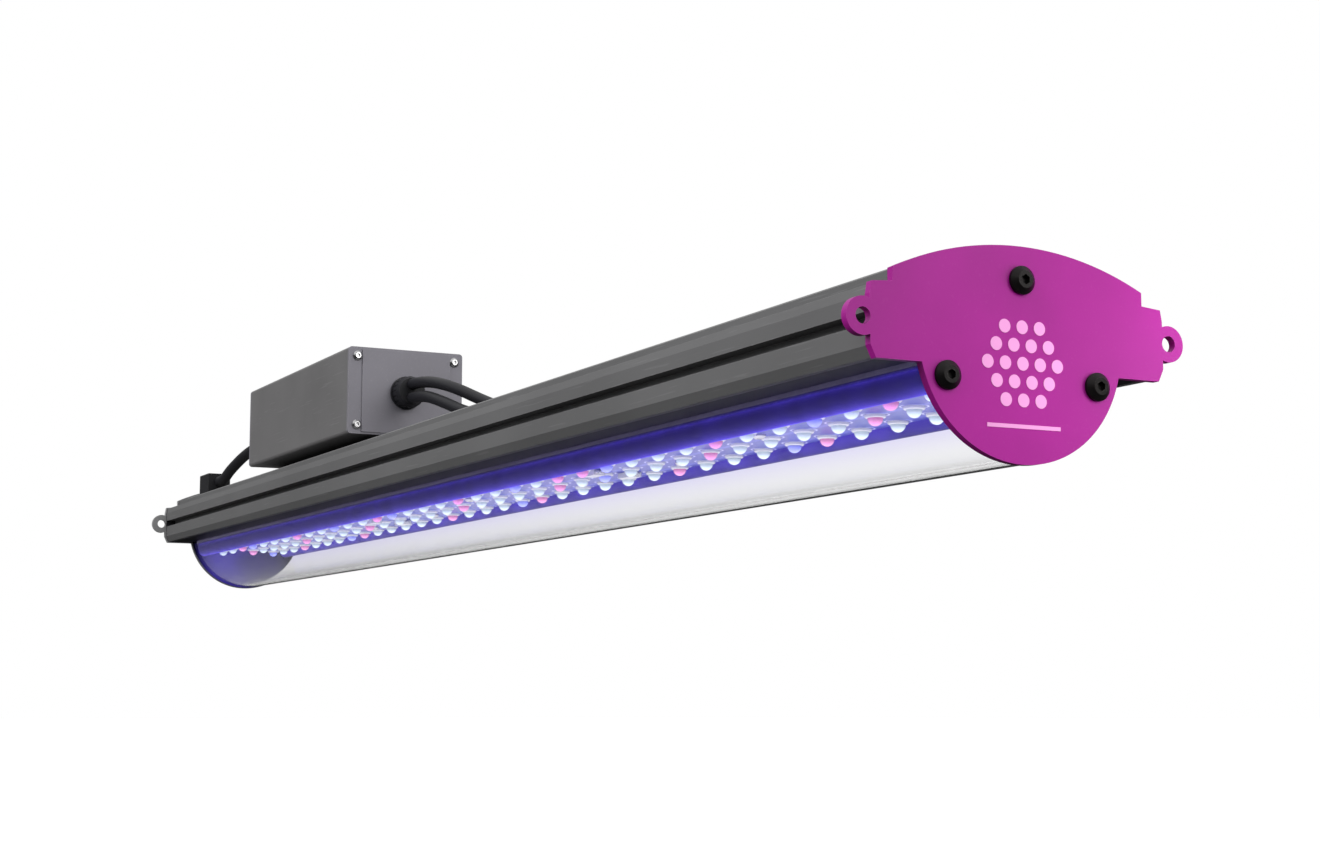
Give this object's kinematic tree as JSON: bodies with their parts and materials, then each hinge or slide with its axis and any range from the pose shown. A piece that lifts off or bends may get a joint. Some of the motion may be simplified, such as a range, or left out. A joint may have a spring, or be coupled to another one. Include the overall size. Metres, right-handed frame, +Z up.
{
  "type": "led grow light",
  "caption": "Long linear LED grow light: hollow aluminium bar with a clear half-round lens under rows of LEDs, end plates with hook rings, and a driver box with two short cords on top.",
  "frame": {"origin": "halfway along the bar, on the line through the four hook holes, midway across: the point it hangs about", "axes": "+X along the bar to the magenta end plate, -Y to the front, +Z up, towards the driver box"},
  "size_m": [0.9194, 0.1336, 0.123],
  "materials": {
    "anodised": "grey anodised aluminium extrusion, satin",
    "pink_plate": "magenta powder coat, satin",
    "grey_plate": "grey powder coat, satin",
    "box_grey": "grey painted sheet, satin",
    "bare_alu": "milled",
    "clear_lens": null,
    "black_rubber": "matt",
    "black_plastic": "moulded nylon",
    "black_screw": "black oxide",
    "bright_screw": "bright zinc",
    "circuit_board": "solder mask",
    "led_ceramic": "white ceramic",
    "white_dome": "silicone dome over a white emitter",
    "red_dome": "silicone dome over a red emitter",
    "blue_dome": "silicone dome over a blue emitter",
    "thermal": "silicone sheet",
    "cord_black": "flexible cord jacket",
    "green_board": "solder mask",
    "wire_red": "silicone wire insulation",
    "green_terminal": "moulded terminal block",
    "copper": "enamelled wire and plated contacts",
    "can_black": "shrink sleeve"
  },
  "bodies": {
    "fixture": {"heatsink_profile": "anodised", "thermal_pad": "thermal", "led_board_near": "circuit_board", "led_board_middle": "circuit_board", "led_board_far": "circuit_board", "led_packages": "led_ceramic", "led_domes_white": "white_dome", "led_domes_red": "red_dome", "led_domes_blue": "blue_dome", "board_screws": "bright_screw", "board_links": "led_ceramic", "lens_cover": "clear_lens", "lens_seal_front": "black_rubber", "lens_seal_back": "black_rubber", "lens_retainer_front": "black_plastic", "lens_retainer_back": "black_plastic", "end_plate_near": "pink_plate", "end_plate_far": "grey_plate", "end_gasket_near": "black_rubber", "end_gasket_far": "black_rubber", "end_screws_near": "black_screw", "end_screws_far": "black_screw", "driver_case": "box_grey", "driver_panel_near": "box_grey", "driver_panel_far": "box_grey", "driver_panel_screws": "bright_screw", "driver_foot_near": "box_grey", "driver_foot_far": "box_grey", "driver_foot_screws": "black_screw", "driver_case_screws": "bright_screw", "driver_circuit_board": "green_board", "driver_standoffs": "bare_alu", "driver_transformer": "can_black", "driver_capacitors": "can_black", "driver_choke": "copper", "driver_heat_spreader": "bare_alu", "cord_gland_body": "black_plastic", "cord_gland_nut": "black_plastic", "cord_gland_locknut": "black_plastic", "cord_gland_bush": "black_rubber", "input_cord": "cord_black", "link_cord": "cord_black", "led_lead": "cord_black", "lead_gland": "black_plastic", "lead_boot": "black_rubber", "input_cord_relief": "black_rubber", "link_cord_relief": "black_rubber", "input_plug_body": "black_plastic", "input_pins": "copper", "feed_wires": "wire_red", "driver_leads": "cord_black", "driver_terminal_block": "green_terminal", "link_socket_body": "black_plastic", "link_contacts": "copper"},
    "coupling_ring": {"input_coupling_ring": "black_plastic"}
  },
  "joints": [
    {"name": "coupling_ring_spin", "type": "hinge", "parent": "fixture", "child": "coupling_ring", "pos_m": [0.1034, 0.032, 0.0304], "axis": [1, 0, 0], "continuous": true}
  ]
}
